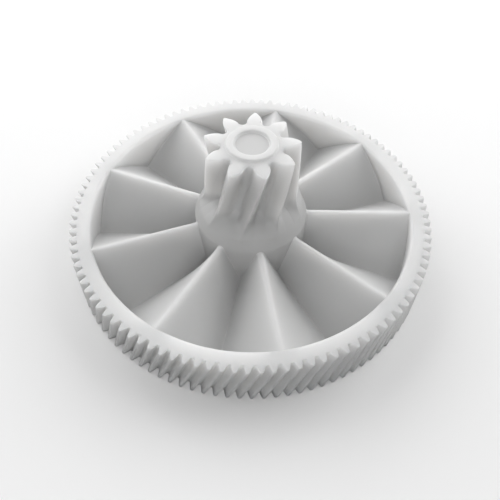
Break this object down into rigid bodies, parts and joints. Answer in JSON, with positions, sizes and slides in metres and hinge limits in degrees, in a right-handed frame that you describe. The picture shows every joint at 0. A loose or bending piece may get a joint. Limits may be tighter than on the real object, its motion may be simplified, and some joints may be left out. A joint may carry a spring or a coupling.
{
  "type": "compound helical gear",
  "caption": "White moulded compound helical gear: a fine-toothed wheel on a pleated web, with a coarse pinion on its domed hub and a blind bore for an axle.",
  "frame": {"origin": "on the bore's axis, in the flat underside of the wheel", "axes": "+Z along the axis from the wheel towards the pinion; +X along the first ridge of the web"},
  "size_m": [0.0902, 0.0902, 0.0347],
  "materials": {
    "white_acetal": "satin, as moulded, slightly translucent"
  },
  "bodies": {
    "root": {"toothed_rim": "white_acetal", "web_pleat_1": "white_acetal", "web_pleat_2": "white_acetal", "web_pleat_3": "white_acetal", "web_pleat_4": "white_acetal", "web_pleat_5": "white_acetal", "web_pleat_6": "white_acetal", "web_pleat_7": "white_acetal", "web_pleat_8": "white_acetal", "web_pleat_9": "white_acetal", "hub": "white_acetal", "pinion": "white_acetal", "thrust_ring": "white_acetal"}
  },
  "joints": []
}
